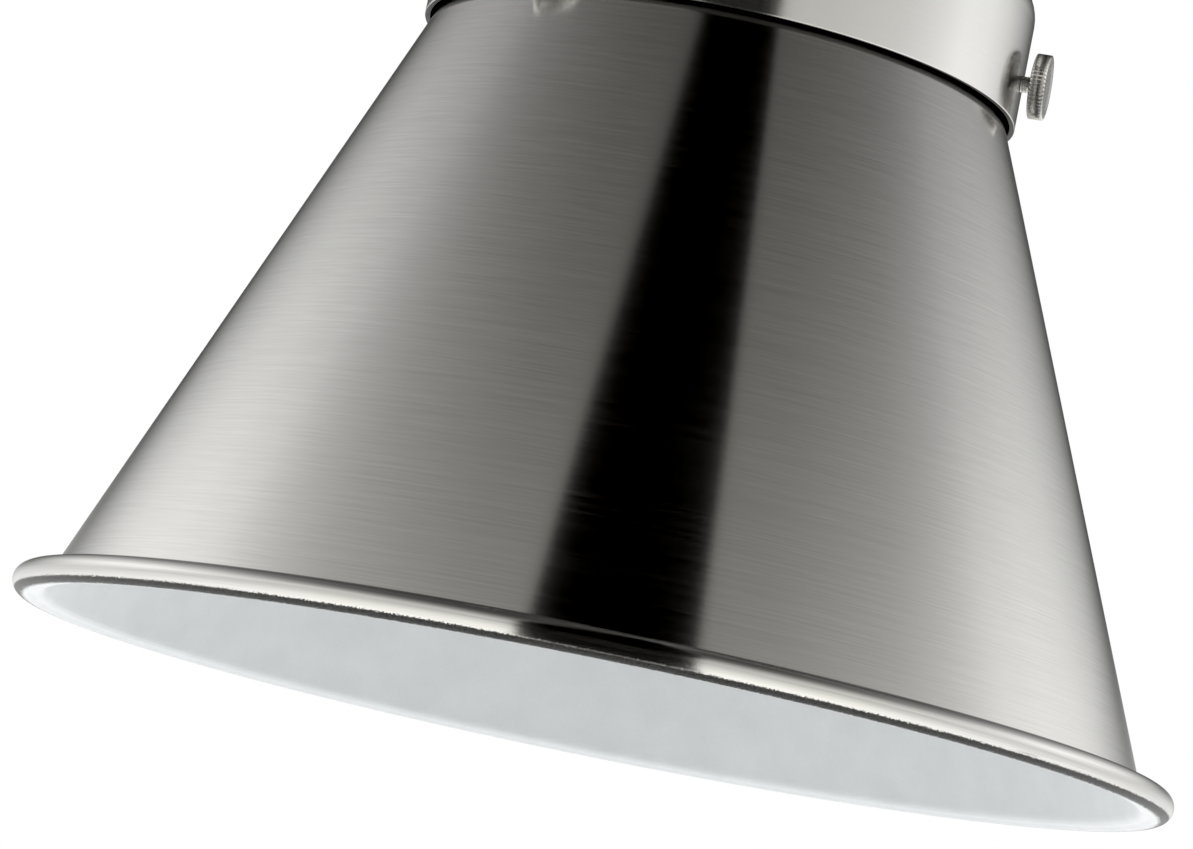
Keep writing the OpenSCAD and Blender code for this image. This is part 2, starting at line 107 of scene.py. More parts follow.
# %% [markdown]
# Bright metal shows whatever stands around it, so a studio picture of it is really a
# picture of the studio. Here the head hangs inside a tent of white cloth. Tall soft boxes
# light the tent from both sides, and its floor glows. A dark panel stands in front, and
# its mirror image is the black stripe down the cone. The tent can't be seen itself, and
# it leans with the head. The air outside it lights the rest of the lamp, most of all from
# the sides and from above, so that round parts keep a darker line down their middle.

# %% Small node helpers


def math_node(tree, operation, a, b=None, c=None):
    """A Math node whose inputs are sockets or numbers; gives its output."""
    n = tree.nodes.new("ShaderNodeMath")
    n.operation = operation
    for k, v in enumerate((a, b, c)):
        if v is None:
            continue
        if isinstance(v, (int, float)):
            n.inputs[k].default_value = v
        else:
            tree.links.new(v, n.inputs[k])
    return n.outputs[0]


def spread(tree, value, low, high, out_low=0.0, out_high=1.0, smooth=False):
    """Maps low..high to out_low..out_high."""
    n = tree.nodes.new("ShaderNodeMapRange")
    if smooth:
        n.interpolation_type = "SMOOTHSTEP"
    tree.links.new(value, n.inputs["Value"])
    for label, v in (("From Min", low), ("From Max", high), ("To Min", out_low), ("To Max", out_high)):
        n.inputs[label].default_value = v
    return n.outputs["Result"]


def between(tree, share, a, b):
    """share of a, and the rest of b; each of the three is a socket or a number."""
    rest = 1 - share if isinstance(share, float) else math_node(tree, "SUBTRACT", 1.0, share)
    return math_node(tree, "ADD", math_node(tree, "MULTIPLY", a, share), math_node(tree, "MULTIPLY", b, rest))


def grey_ramp(tree, value, stops):
    """A grey that follows value through stops of (place, level)."""
    n = tree.nodes.new("ShaderNodeValToRGB")
    tree.links.new(value, n.inputs["Fac"])
    line = n.color_ramp.elements
    while len(line) < len(stops):
        line.new(0.5)
    for e, (place, level) in zip(line, stops):
        e.position = place
        e.color = (level, level, level, 1)
    return n.outputs["Color"]


# %% The bright tent round the head
# How bright the cloth is round the head, from the front (0) to the back (1), up from the
# rim's plane (0) to the top (1), and down from that plane (0) to the bottom (1).
TENT_R = 0.6
CLOTH_ROUND = ((0.0, 0.53), (0.2, 0.58), (0.36, 0.69), (0.44, 0.82), (0.52, 1.0), (0.6, 0.95),
               (0.67, 0.79), (0.75, 0.5), (0.83, 0.2), (0.88, 0.07), (0.95, 0.07), (0.98, 0.95))
CLOTH_UP = ((0.0, 0.62), (0.11, 0.79), (0.22, 0.97), (0.33, 0.72), (0.44, 0.41), (0.55, 0.2),
            (0.66, 0.11), (0.8, 0.07))
CLOTH_DOWN = ((0.0, 0.64), (0.06, 0.68), (0.23, 0.85), (0.5, 1.0))
WALL_LIGHT = 1.5
BOTTOM_LIGHT = 1.47
NEAR_LIGHT = 0.6
bm = bmesh.new()
bmesh.ops.create_uvsphere(bm, u_segments=96, v_segments=48, radius=TENT_R)
bmesh.ops.reverse_faces(bm, faces=bm.faces)
tent_mesh = bpy.data.meshes.new("tent")
bm.to_mesh(tent_mesh)
bm.free()
tent = bpy.data.objects.new("tent", tent_mesh)
tent.matrix_world = head_place
bpy.context.collection.objects.link(tent)
tent.visible_camera = False
tent.visible_shadow = False

tent_mat = bpy.data.materials.new("glowing_cloth")
tent_mat.use_nodes = True
tt = tent_mat.node_tree
tt.nodes.clear()
coord = tt.nodes.new("ShaderNodeTexCoord")
xyz = tt.nodes.new("ShaderNodeSeparateXYZ")
tt.links.new(coord.outputs["Object"], xyz.inputs[0])
to_front = math_node(tt, "MULTIPLY", xyz.outputs["Y"], -1.0)
turn = math_node(tt, "ABSOLUTE", math_node(tt, "ARCTAN2", xyz.outputs["X"], to_front))
turn = math_node(tt, "DIVIDE", turn, math.pi)
height = math_node(tt, "ARCSINE", math_node(tt, "DIVIDE", xyz.outputs["Z"], TENT_R))
height = math_node(tt, "DIVIDE", height, math.pi / 2)
wall = math_node(tt, "MULTIPLY", grey_ramp(tt, turn, CLOTH_ROUND), grey_ramp(tt, height, CLOTH_UP))
wall = math_node(tt, "MULTIPLY", wall, WALL_LIGHT)
glow = grey_ramp(tt, math_node(tt, "MULTIPLY", height, -1.0), CLOTH_DOWN)
glow = math_node(tt, "MULTIPLY", glow, BOTTOM_LIGHT)

is_low = spread(tt, height, -0.02, 0.16, 1.0, 0.0, smooth=True)
level = between(tt, is_low, glow, wall)
# the pole stands close to the cloth, which is dimmer for it, like the air outside
ray_length = tt.nodes.new("ShaderNodeLightPath").outputs["Ray Length"]
level = between(tt, spread(tt, ray_length, 0.34, 0.46, smooth=True), level, NEAR_LIGHT)
emit = tt.nodes.new("ShaderNodeEmission")
tt.links.new(level, emit.inputs["Strength"])
warm = tt.nodes.new("ShaderNodeMix")
warm.data_type = "RGBA"
tt.links.new(spread(tt, turn, 0.25, 0.5, smooth=True), warm.inputs["Factor"])
warm.inputs["A"].default_value = (1.0, 0.992, 0.95, 1)
warm.inputs["B"].default_value = (1.0, 1.0, 0.995, 1)
tt.links.new(warm.outputs["Result"], emit.inputs["Color"])
clear = tt.nodes.new("ShaderNodeBsdfTransparent")
side_of = tt.nodes.new("ShaderNodeNewGeometry")
choose = tt.nodes.new("ShaderNodeMixShader")
tent_out = tt.nodes.new("ShaderNodeOutputMaterial")
tt.links.new(side_of.outputs["Backfacing"], choose.inputs[0])
tt.links.new(emit.outputs[0], choose.inputs[1])
tt.links.new(clear.outputs[0], choose.inputs[2])
tt.links.new(choose.outputs[0], tent_out.inputs[0])
tent_mesh.materials.append(tent_mat)
print("tent of", len(tent_mesh.polygons), "faces")

# %% The dark panel
# A tall strip curved round the front. Each row is how high it is, in degrees above the
# rim's plane, and where its left and right edges are, in metres.
PANEL_AWAY = 0.56
PANEL = ((90, 0.035, 0.05), (76, 0.004, 0.068), (60, -0.066, 0.117), (48, -0.114, 0.146),
         (40, -0.132, 0.152), (21, -0.147, 0.153), (-4, -0.149, 0.157), (-28, -0.141, 0.151),
         (-62, -0.114, 0.124), (-76, -0.08, 0.09))
bm = bmesh.new()
rows = []
for up_deg, left, right in PANEL:
    y, z = -PANEL_AWAY * math.cos(math.radians(up_deg)), PANEL_AWAY * math.sin(math.radians(up_deg))
    rows.append([bm.verts.new((x, y, z)) for x in (left, right)])
for a, b in zip(rows, rows[1:]):
    bm.faces.new((a[0], a[1], b[1], b[0]))
panel_mesh = bpy.data.meshes.new("dark_panel")
bm.to_mesh(panel_mesh)
bm.free()
panel = bpy.data.objects.new("dark_panel", panel_mesh)
panel.matrix_world = head_place
bpy.context.collection.objects.link(panel)
panel.visible_camera = False
panel.visible_shadow = False
panel_mat = bpy.data.materials.new("black_cloth")
panel_mat.use_nodes = True
cloth = panel_mat.node_tree.nodes["Principled BSDF"]
cloth.inputs["Base Color"].default_value = (0, 0, 0, 1)
cloth.inputs["Specular IOR Level"].default_value = 0.0
panel_mesh.materials.append(panel_mat)

# %% Air and floor
world = bpy.data.worlds.new("studio")
bpy.context.scene.world = world
world.use_nodes = True
wt = world.node_tree
sky = wt.nodes["Background"]
seen = wt.nodes.new("ShaderNodeLightPath")    # the camera sees plain white behind the lamp
way = wt.nodes.new("ShaderNodeSeparateXYZ")
wt.links.new(wt.nodes.new("ShaderNodeTexCoord").outputs["Generated"], way.inputs[0])
sides = spread(wt, math_node(wt, "ABSOLUTE", way.outputs["X"]), 0.1, 0.8, 0.25, 1.3, smooth=True)
air = math_node(wt, "MULTIPLY", sides, spread(wt, way.outputs["Z"], -0.3, 0.7, 0.6, 1.15, smooth=True))
wt.links.new(between(wt, seen.outputs["Is Camera Ray"], 1.0, air), sky.inputs["Strength"])
sky.inputs["Color"].default_value = (1, 1, 1, 1)

floor_mesh = bpy.data.meshes.new("floor")
bm = bmesh.new()
bmesh.ops.create_circle(bm, cap_ends=True, segments=96, radius=7.0)
bm.to_mesh(floor_mesh)
bm.free()
floor = bpy.data.objects.new("floor", floor_mesh)
floor.location = (0, 0, -0.0005)
bpy.context.collection.objects.link(floor)
floor_mat = bpy.data.materials.new("pale_floor")
floor_mat.use_nodes = True
floor_bsdf = floor_mat.node_tree.nodes["Principled BSDF"]
floor_bsdf.inputs["Base Color"].default_value = (0.86, 0.86, 0.85, 1)
floor_bsdf.inputs["Roughness"].default_value = 0.7
floor_mesh.materials.append(floor_mat)
view = bpy.context.scene.view_settings
view.view_transform = "Standard"
view.use_curve_mapping = True
view.curve_mapping.black_level = (0.0075, 0.0075, 0.0075)    # deep blacks, as print wants
print("studio lit")

# %% [markdown]
# ## Shared surface effects
# Nearly every part is satin nickel, brushed while it turned on a lathe. The brush leaves
# fine lines round the part, which spread a reflection along the axis and keep it sharp
# across it. One node group draws those lines for all the pieces. It reads a UV map that
# holds the angle round the axis and the distance along the profile, and turns the angle
# into a point on a circle, so the lines close up with no seam.

# %% Node group: brushed lines


def new_group(name, inputs, outputs):
    group = bpy.data.node_groups.new(name, "ShaderNodeTree")
    for label, value in inputs:
        s = group.interface.new_socket(label, in_out="INPUT", socket_type="NodeSocketFloat")
        s.default_value = value
    for label in outputs:
        group.interface.new_socket(label, in_out="OUTPUT", socket_type="NodeSocketFloat")
    return group, group.nodes.new("NodeGroupInput"), group.nodes.new("NodeGroupOutput")


def noise_node(tree, vector, scale, detail=2.0, rough=0.5):
    n = tree.nodes.new("ShaderNodeTexNoise")
    n.inputs["Scale"].default_value = scale
    n.inputs["Detail"].default_value = detail
    n.inputs["Roughness"].default_value = rough
    tree.links.new(vector, n.inputs["Vector"])
    return n.outputs["Fac"]


brushed, g_in, g_out = new_group("brushed_lines", (("Lines per mm", 3.0), ("Length", 4.0)),
                                 ("Lines", "Fine", "Tone", "Along"))
uv = brushed.nodes.new("ShaderNodeUVMap")
uv.uv_map = "turn"
uv_xy = brushed.nodes.new("ShaderNodeSeparateXYZ")
brushed.links.new(uv.outputs[0], uv_xy.inputs[0])
angle = math_node(brushed, "MULTIPLY", uv_xy.outputs["X"], 2 * math.pi)
along_mm = math_node(brushed, "MULTIPLY", uv_xy.outputs["Y"], 1000.0)
ring_x = math_node(brushed, "MULTIPLY", math_node(brushed, "COSINE", angle), g_in.outputs["Length"])
ring_y = math_node(brushed, "MULTIPLY", math_node(brushed, "SINE", angle), g_in.outputs["Length"])
ring_z = math_node(brushed, "MULTIPLY", along_mm, g_in.outputs["Lines per mm"])
ring_v = brushed.nodes.new("ShaderNodeCombineXYZ")
for k, s in enumerate((ring_x, ring_y, ring_z)):
    brushed.links.new(s, ring_v.inputs[k])
brushed.links.new(noise_node(brushed, ring_v.outputs[0], 1.0, 3.0, 0.6), g_out.inputs["Lines"])
brushed.links.new(noise_node(brushed, ring_v.outputs[0], 2.7, 2.0, 0.6), g_out.inputs["Fine"])
brushed.links.new(noise_node(brushed, ring_v.outputs[0], 0.12, 2.0, 0.5), g_out.inputs["Tone"])
brushed.links.new(along_mm, g_out.inputs["Along"])

# %% [markdown]
# The second shared effect is an even grain, for paint, plastic, rubber and castings. It
# reads Object coordinates, which are the real positions in metres, so the same numbers
# give the same size of grain on every piece.

# %% Node group: grain
grain, g_in, g_out = new_group("grain", (("Grains per mm", 2.0),), ("Fine", "Broad"))
place = grain.nodes.new("ShaderNodeTexCoord")
scale = grain.nodes.new("ShaderNodeVectorMath")
scale.operation = "SCALE"
grain.links.new(place.outputs["Object"], scale.inputs[0])
grain.links.new(math_node(grain, "MULTIPLY", g_in.outputs[0], 1000.0), scale.inputs["Scale"])
grain.links.new(noise_node(grain, scale.outputs[0], 1.0, 3.0, 0.6), g_out.inputs["Fine"])
grain.links.new(noise_node(grain, scale.outputs[0], 0.04, 2.0, 0.5), g_out.inputs["Broad"])


# %% Helpers to wire a material
def start_material(name):
    mat = bpy.data.materials.new(name)
    mat.use_nodes = True
    return mat, mat.node_tree, mat.node_tree.nodes["Principled BSDF"]


def use_group(tree, group, **values):
    n = tree.nodes.new("ShaderNodeGroup")
    n.node_tree = group
    for label, value in values.items():
        n.inputs[label.replace("_", " ")].default_value = value
    return n


def blend_colour(tree, factor, a, b):
    """A colour between a and b; each may be a socket or a plain colour."""
    n = tree.nodes.new("ShaderNodeMix")
    n.data_type = "RGBA"
    tree.links.new(factor, n.inputs["Factor"])
    for label, v in (("A", a), ("B", b)):
        if isinstance(v, tuple):
            n.inputs[label].default_value = (*v, 1)
        else:
            tree.links.new(v, n.inputs[label])
    return n.outputs["Result"]


def stretched(tree, noise, low=0.0, high=1.0):
    """Noise keeps near its middle, so its useful part is stretched over low..high."""
    return spread(tree, noise, 0.3, 0.7, low, high)


def bump(tree, bsdf, height, distance_mm):
    n = tree.nodes.new("ShaderNodeBump")
    n.inputs["Strength"].default_value = 0.5
    n.inputs["Distance"].default_value = distance_mm * MM
    tree.links.new(height, n.inputs["Height"])
    tree.links.new(n.outputs[0], bsdf.inputs["Normal"])


def round_tangent(tree, bsdf):
    """Spreads the shine across the brush lines, which run round the piece."""
    n = tree.nodes.new("ShaderNodeTangent")
    n.direction_type = "UV_MAP"
    n.uv_map = "turn"
    tree.links.new(n.outputs[0], bsdf.inputs["Tangent"])
    bsdf.inputs["Anisotropic Rotation"].default_value = 0.25


def grain_material(name, dark, light, rough, metallic=0.0, grains=2.0, depth=0.01):
    """An even finish: a colour that drifts a little, with a fine grain in its surface."""
    mat, tree, bsdf = start_material(name)
    g = use_group(tree, grain, Grains_per_mm=grains)
    fine = g.outputs["Fine"]
    drift = stretched(tree, between(tree, 0.5, g.outputs["Broad"], fine))
    tree.links.new(blend_colour(tree, drift, dark, light), bsdf.inputs["Base Color"])
    tree.links.new(stretched(tree, fine, rough - 0.06, rough + 0.06), bsdf.inputs["Roughness"])
    bsdf.inputs["Metallic"].default_value = metallic
    bump(tree, bsdf, fine, depth)
    return mat


# %% [markdown]
# ## Satin nickel
# Two finishes share it: the turned parts, and the shade, whose outside is nickel and whose
# inside is white paint. On the shade the material changes along the profile. The paint was
# sprayed from inside, so it ends on the underside of the rolled rim in a thin, grainy edge.

# %% Nickel for turned parts
NICKEL_DARK = (0.625, 0.619, 0.603)
NICKEL_LIGHT = (0.675, 0.669, 0.653)


def nickel_material(name, lines, length, rough=0.2, aniso=0.7, depth=0.0006):
    mat, tree, bsdf = start_material(name)
    g = use_group(tree, brushed, Lines_per_mm=lines, Length=length)
    mix = between(tree, 0.5, g.outputs["Fine"], g.outputs["Lines"])
    tree.links.new(blend_colour(tree, stretched(tree, mix), NICKEL_DARK, NICKEL_LIGHT),
                   bsdf.inputs["Base Color"])
    tree.links.new(stretched(tree, mix, rough - 0.05, rough + 0.05), bsdf.inputs["Roughness"])
    bsdf.inputs["Metallic"].default_value = 1.0
    bsdf.inputs["Anisotropic"].default_value = aniso
    round_tangent(tree, bsdf)
    bump(tree, bsdf, mix, depth)
    return mat


nickel = nickel_material("satin_nickel", 4.0, 3.0)
print("nickel ready")

# %% Shade finish: nickel outside, white paint inside
CONE_DARK = (0.605, 0.599, 0.583)
CONE_LIGHT = (0.695, 0.689, 0.673)
DUST_DARK = (0.004, 0.004, 0.004)
DUST_LIGHT = (0.075, 0.075, 0.075)
PAINT_DARK = (0.612, 0.632, 0.648)
PAINT_LIGHT = (0.682, 0.702, 0.718)


def shade_material(spray_start, paint_start, paint_end):
    """Nickel, a grainy edge of overspray, then white paint; places in mm along the profile."""
    mat, tree, bsdf = start_material("shade_skin")
    g = use_group(tree, brushed, Lines_per_mm=3.2, Length=3.5)
    speck = use_group(tree, grain, Grains_per_mm=3.5)
    along, speckle = g.outputs["Along"], speck.outputs["Fine"]
    jitter = math_node(tree, "SUBTRACT", speckle, 0.5)
    ended = spread(tree, along, paint_end - 0.3, paint_end + 0.3, 1.0, 0.0)
    spray = spread(tree, math_node(tree, "MULTIPLY_ADD", jitter, 1.2, along),
                   spray_start - 0.12, spray_start + 0.12, smooth=True)
    spray = math_node(tree, "MULTIPLY", spray, ended)
    paint = spread(tree, math_node(tree, "MULTIPLY_ADD", jitter, 3.0, along),
                   paint_start - 0.35, paint_start + 0.35, smooth=True)
    mix = between(tree, 0.45, g.outputs["Fine"], g.outputs["Lines"])
    metal = blend_colour(tree, stretched(tree, mix), CONE_DARK, CONE_LIGHT)
    dust = blend_colour(tree, stretched(tree, speckle), DUST_DARK, DUST_LIGHT)
    cloud = between(tree, 0.5, speckle, speck.outputs["Broad"])
    white = blend_colour(tree, stretched(tree, cloud), PAINT_DARK, PAINT_LIGHT)
    coat = blend_colour(tree, paint, dust, white)
    tree.links.new(blend_colour(tree, spray, metal, coat), bsdf.inputs["Base Color"])
    tree.links.new(math_node(tree, "SUBTRACT", 1.0, spray), bsdf.inputs["Metallic"])
    metal_rough = stretched(tree, mix, 0.12, 0.18)
    tree.links.new(math_node(tree, "MULTIPLY_ADD", spray, 0.35, metal_rough), bsdf.inputs["Roughness"])
    bsdf.inputs["Specular IOR Level"].default_value = 0.2
    bsdf.inputs["Anisotropic"].default_value = 0.8
    round_tangent(tree, bsdf)
    orange_peel = math_node(tree, "MULTIPLY", math_node(tree, "MULTIPLY", speckle, spray), 1.6)
    bump(tree, bsdf, math_node(tree, "MULTIPLY_ADD", mix, 0.8, orange_peel), 0.014)
    return mat


# %% [markdown]
# ## Turned pieces
# A turned part is one half section spun round its axis. We draw the section as a closed
# loop of points, spin it a full turn with the ends merged, and note on every point how far
# along the section it lies. That distance and the angle become the UV map that the brushed
# lines need. Round corners are drawn as short arcs, because a crisp computer edge has no
# highlight and looks false.

# %% Helper: draw and spin a section


def arc(cx, cz, r, start, end, steps=8):
    """Points of an arc in the section's plane; angles in degrees from the outward axis."""
    return [(cx + r * math.cos(math.radians(start + (end - start) * i / steps)),
             cz + r * math.sin(math.radians(start + (end - start) * i / steps)))
            for i in range(steps + 1)]


def rounded(points, radius, steps=3):
    """A closed section with its corners eased. radius is one number, or one for each corner."""
    out = []
    n = len(points)
    for i, p in enumerate(points):
        r = radius[i] if isinstance(radius, (list, tuple)) else radius
        a, b, c = Vector(points[i - 1]), Vector(p), Vector(points[(i + 1) % n])
        u, v = (a - b), (c - b)
        room = min(u.length, v.length) * 0.45
        if r <= 0 or room < 1e-6 or b.x < 1e-6:
            out.append(tuple(b))
            continue
        half = u.angle(v) / 2
        cut = min(r / math.tan(half), room) if half > 0.02 else room
        start, end = b + u.normalized() * cut, b + v.normalized() * cut
        for k in range(steps + 1):
            t = k / steps
            out.append(tuple(start * (1 - t) ** 2 + b * (2 * t * (1 - t)) + end * t ** 2))
    return out


def finish_piece(bm, name, mat, place, body, replaced, smooth_deg=40):
    """Puts the mesh in its place, and gives the object its finish, body and CAD part."""
    bmesh.ops.transform(bm, matrix=place, verts=bm.verts)
    mesh = bpy.data.meshes.new(name)
    bm.to_mesh(mesh)
    bm.free()
    mesh.set_sharp_from_angle(angle=math.radians(smooth_deg))
    for f in mesh.polygons:
        f.use_smooth = True
    obj = bpy.data.objects.new(name, mesh)
    bpy.context.collection.objects.link(obj)
    mesh.materials.append(mat)
    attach(obj, body)
    if replaced:
        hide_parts(*replaced)
    return obj


def section_lengths(points):
    total, out = 0.0, []
    for i, p in enumerate(points):
        if i:
            total += (Vector(p) - Vector(points[i - 1])).length
        out.append(total)
    return out


def even(points, longest):
    """Adds points so that no step of the section is longer than this."""
    out = [points[0]]
    for a, b in zip(points, points[1:]):
        a, b = Vector(a), Vector(b)
        n = max(1, math.ceil((b - a).length / longest))
        out += [tuple(a.lerp(b, i / n)) for i in range(1, n + 1)]
    return out


def spin_section(points, steps=128, closed=True):
    """Spins a section in mm, given as (radius, height), and fills the UV map 'turn'."""
    points = even(points, max(section_lengths(points)[-1] / 6, 0.5))
    bm = bmesh.new()
    along = bm.verts.layers.float.new("along")
    verts = []
    for (r, z), d in zip(points, section_lengths(points)):
        v = bm.verts.new((r * MM, 0, z * MM))
        v[along] = d * MM
        verts.append(v)
    edges = [bm.edges.new((a, b)) for a, b in zip(verts, verts[1:])]
    if closed:
        edges.append(bm.edges.new((verts[-1], verts[0])))
    bmesh.ops.spin(bm, geom=verts + edges, cent=(0, 0, 0), axis=(0, 0, 1), angle=2 * math.pi,
                   steps=steps, use_merge=True, use_duplicate=False)
    bmesh.ops.remove_doubles(bm, verts=bm.verts, dist=1e-6)
    bmesh.ops.recalc_face_normals(bm, faces=bm.faces)
    fill_turn_uv(bm, along, section_lengths(points)[-1] * MM)
    return bm


def fill_turn_uv(bm, along, total):
    """UV x is the angle in turns, y the distance along the section in metres."""
    uv_layer = bm.loops.layers.uv.new("turn")
    for f in bm.faces:
        mid = f.calc_center_median()
        mid_turn = math.atan2(mid.y, mid.x) / (2 * math.pi)
        far = max(l.vert[along] for l in f.loops)
        wraps = far - min(l.vert[along] for l in f.loops) > total * 0.5
        for l in f.loops:
            co = l.vert.co
            turn = math.atan2(co.y, co.x) / (2 * math.pi) if co.xy.length > 1e-7 else mid_turn
            if turn - mid_turn > 0.5:
                turn -= 1
            if turn - mid_turn < -0.5:
                turn += 1
            d = l.vert[along]
            if wraps and d < total * 0.5:
                d += total
            l[uv_layer].uv = (turn, d)


def turned(name, points, mat, place, replaced, steps=128, closed=True, teeth=None):
    """A turned piece that stands for one CAD part. teeth is (count, depth, radius they start at)."""
    bm = spin_section(points, steps, closed)
    if teeth:
        count, depth, start = teeth
        for v in bm.verts:
            r = v.co.xy.length / MM
            if r > start:
                phase = (math.atan2(v.co.y, v.co.x) / (2 * math.pi) * count) % 1.0
                v.co.xy *= (r - depth * (1 - abs(2 * phase - 1))) / r
    obj = finish_piece(bm, name, mat, place, body_of[replaced[0]], replaced)
    print(name, len(obj.data.polygons), "faces")
    return obj


def drill(obj, holes, slots=()):
    """Cuts holes right through. Each hole is (place, radius, low, high) in mm, along the
    place's own Z; each slot is the same with a length along the place's X."""
    bm = bmesh.new()
    for place, r, low, high, *length in list(holes) + list(slots):
        at = place @ Matrix.Translation((0, 0, (low + high) / 2 * MM))
        got = bmesh.ops.create_cone(bm, cap_ends=True, segments=48, radius1=r * MM, radius2=r * MM,
                                    depth=(high - low) * MM)
        if length:
            for v in got["verts"]:
                v.co.x += math.copysign((length[0] / 2 - r) * MM, v.co.x)
        bmesh.ops.transform(bm, matrix=at, verts=got["verts"])
    tool_mesh = bpy.data.meshes.new("cutter")
    bm.to_mesh(tool_mesh)
    bm.free()
    tool = bpy.data.objects.new("cutter", tool_mesh)
    bpy.context.collection.objects.link(tool)
    cut = obj.modifiers.new("cut", "BOOLEAN")
    cut.operation, cut.solver, cut.object = "DIFFERENCE", "EXACT", tool
    made = bpy.data.meshes.new_from_object(obj.evaluated_get(bpy.context.evaluated_depsgraph_get()))
    obj.modifiers.clear()
    obj.data = made
    made.set_sharp_from_angle(angle=math.radians(40))
    bpy.data.objects.remove(tool)


# %% [markdown]
# ## The shade
# It is one spun sheet, 0.8 mm thick. The rim is curled outwards round on itself into a
# bead, which stiffens it and hides the cut edge. The section starts at the top lip, goes
# down the outside of the cone, round the bead to its curled edge, back inside the bead and
# up the inside. So the distance along it says where the nickel ends and the paint begins.

# %% Shade section
HOLDER_WALL = 1.0
SHANK_R = 1.45    # of the thumbscrews, which the shade's lip rests on
GAP = 0.3         # between pieces that don't touch
CONE_STEPS = 24
slope = math.tan(SLOPE)
slant_wall = SHADE_WALL / math.cos(SLOPE)
holder_inner = HOLDER_R - HOLDER_WALL
neck_inner = neck_r - SHADE_WALL
cone_inner = cone_r0 - slant_wall
lip_z = holder_low + SCREW_UP + SHANK_R + GAP
lip_top = lip_z + SHADE_WALL
lip_r = holder_inner - GAP
cone_foot = 1.55    # where the cone meets the bead, above the rim's plane

outside = [(neck_r - 0.4, lip_top), (lip_r - 0.15, lip_top), (lip_r, lip_top - 0.15), (lip_r, lip_z + 0.15),
           (lip_r - 0.15, lip_z), (neck_r + 0.35, lip_z), (neck_r, lip_z - 0.35), (neck_r, cone_top + 0.5),
           (neck_r, cone_top + 0.15), (neck_r + 0.06, cone_top - 0.15),
           (neck_r + 0.6 * slope, cone_top - 0.6)]
for i in range(1, CONE_STEPS + 1):
    z = cone_top - 0.6 + (cone_foot + 0.6 - cone_top + 0.6) * i / CONE_STEPS
    outside.append((cone_r0 - z * slope, z))
outside.append((cone_r0 - cone_foot * slope, cone_foot))
bead = arc(bead_c, 0, BEAD_R, 152, -128, 30)
inside = [(bead_c - BEAD_R * 0.86, -1.95), (cone_inner + 0.9, -1.75), (cone_inner + 0.35, -1.1),
          (cone_inner + 0.4 * slope, -0.4)]
for i in range(1, CONE_STEPS + 1):
    z = -0.4 + (cone_top + 0.4) * i / CONE_STEPS
    inside.append((cone_inner - z * slope, z))
inside += [(neck_inner, cone_top + 1.0), (neck_inner, lip_top - 0.3), (neck_inner + 0.2, lip_top)]
shade_points = outside + bead + inside

# %% Spin the shade
lengths = section_lengths(shade_points)
bead_start = lengths[len(outside)]
spray_from = bead_start + BEAD_R * math.radians(152 + 38)
paint_from = bead_start + BEAD_R * math.radians(152 + 84)
shade_skin = shade_material(spray_from, paint_from, lengths[-1] - 1.0)
turned("shade_cone", shade_points, shade_skin, head_place, ["shade"], steps=256)
print("bead from", round(bead_start, 1), "mm along, paint from", round(paint_from, 1))

# %% [markdown]
# ## The shade holder
# The holder is a thin drawn cup with a rounded shoulder. Its lower edge is a plain cut,
# with the burr taken off, and it shows as a fine bright line. The same lathe helper draws
# it, with a hole in the top for the bulb's lamp holder.

# %% Holder cup
HOLDER_TALL = 19
HOLDER_ROUND = 7
HUSK_R = 21.0
HUSK_WALL = 1.2
holder_shoulder = holder_low + HOLDER_TALL
holder_top = holder_shoulder + HOLDER_ROUND
round_r = HOLDER_R - HOLDER_ROUND
mouth_r = HUSK_R - HUSK_WALL
edge_z = holder_low + 0.1
side_z = [holder_low + HOLDER_TALL * i / 6 for i in range(1, 6)]
holder_points = [(holder_inner, edge_z + 0.12), (holder_inner + 0.12, edge_z), (HOLDER_R - 0.15, edge_z),
                 (HOLDER_R, edge_z + 0.15), (HOLDER_R, edge_z + 0.5)]
holder_points += [(HOLDER_R, z) for z in side_z]
holder_points += arc(round_r, holder_shoulder, HOLDER_ROUND, 0, 90, 12)
holder_points += [(mouth_r + 0.2, holder_top), (mouth_r, holder_top - 0.3), (mouth_r, holder_top - 0.9)]
holder_points += arc(round_r, holder_shoulder, HOLDER_ROUND - HOLDER_WALL, 90, 0, 12)
holder_points += [(holder_inner, z) for z in reversed(side_z)] + [(holder_inner, edge_z + 0.5)]
holder = turned("shade_holder", holder_points, nickel, head_place, ["collar"], steps=256)

# %% Holder's dark inside, partly painted shade, and its screw holes


def outward(turn_deg, height):
    """Place whose Z points out from the shade's axis at this turn, and X along the axis."""
    return head_place @ Matrix.Translation((0, 0, height * MM)) @ \
        Matrix.Rotation(math.radians(turn_deg), 4, "Z") @ Matrix.Rotation(math.pi / 2, 4, "Y")


SCREW_TURNS = {"a": -11, "b": 109, "c": 229}
screw_z = holder_low + SCREW_UP
# The inside and the flat lower edge are near black. This is partly an unplated inside, and partly painted shade
# that keeps them from mirroring the bright glow below.
inside_painted_shade = grain_material("unplated_and_painted_shade", (0.03, 0.03, 0.03), (0.06, 0.06, 0.058), 0.5, 0.6, depth=0.01)
holder.data.materials.append(inside_painted_shade)
from_head = head_place.inverted()
for face in holder.data.polygons:
    c = from_head @ face.center / MM
    if c.xy.length < holder_inner + 0.4 and c.z < holder_top - 0.5 or c.z < edge_z + 0.02:
        face.material_index = 1
drill(holder, [(outward(turn, screw_z), SHANK_R + 0.05, 48, 56) for turn in SCREW_TURNS.values()])
print("holder drilled,", len(holder.data.polygons), "faces")

# %% [markdown]
# ## Thumbscrews
# Three small screws hold the shade in the holder. Each is turned from bar: a plain shank,
# and a head whose rim is rolled between toothed wheels, which raises straight ridges that
# fingers can grip. The head is spun with four steps to each ridge, and the points on its
# rim are then moved in and out. Its outer face is dished a little, as a lathe leaves it.

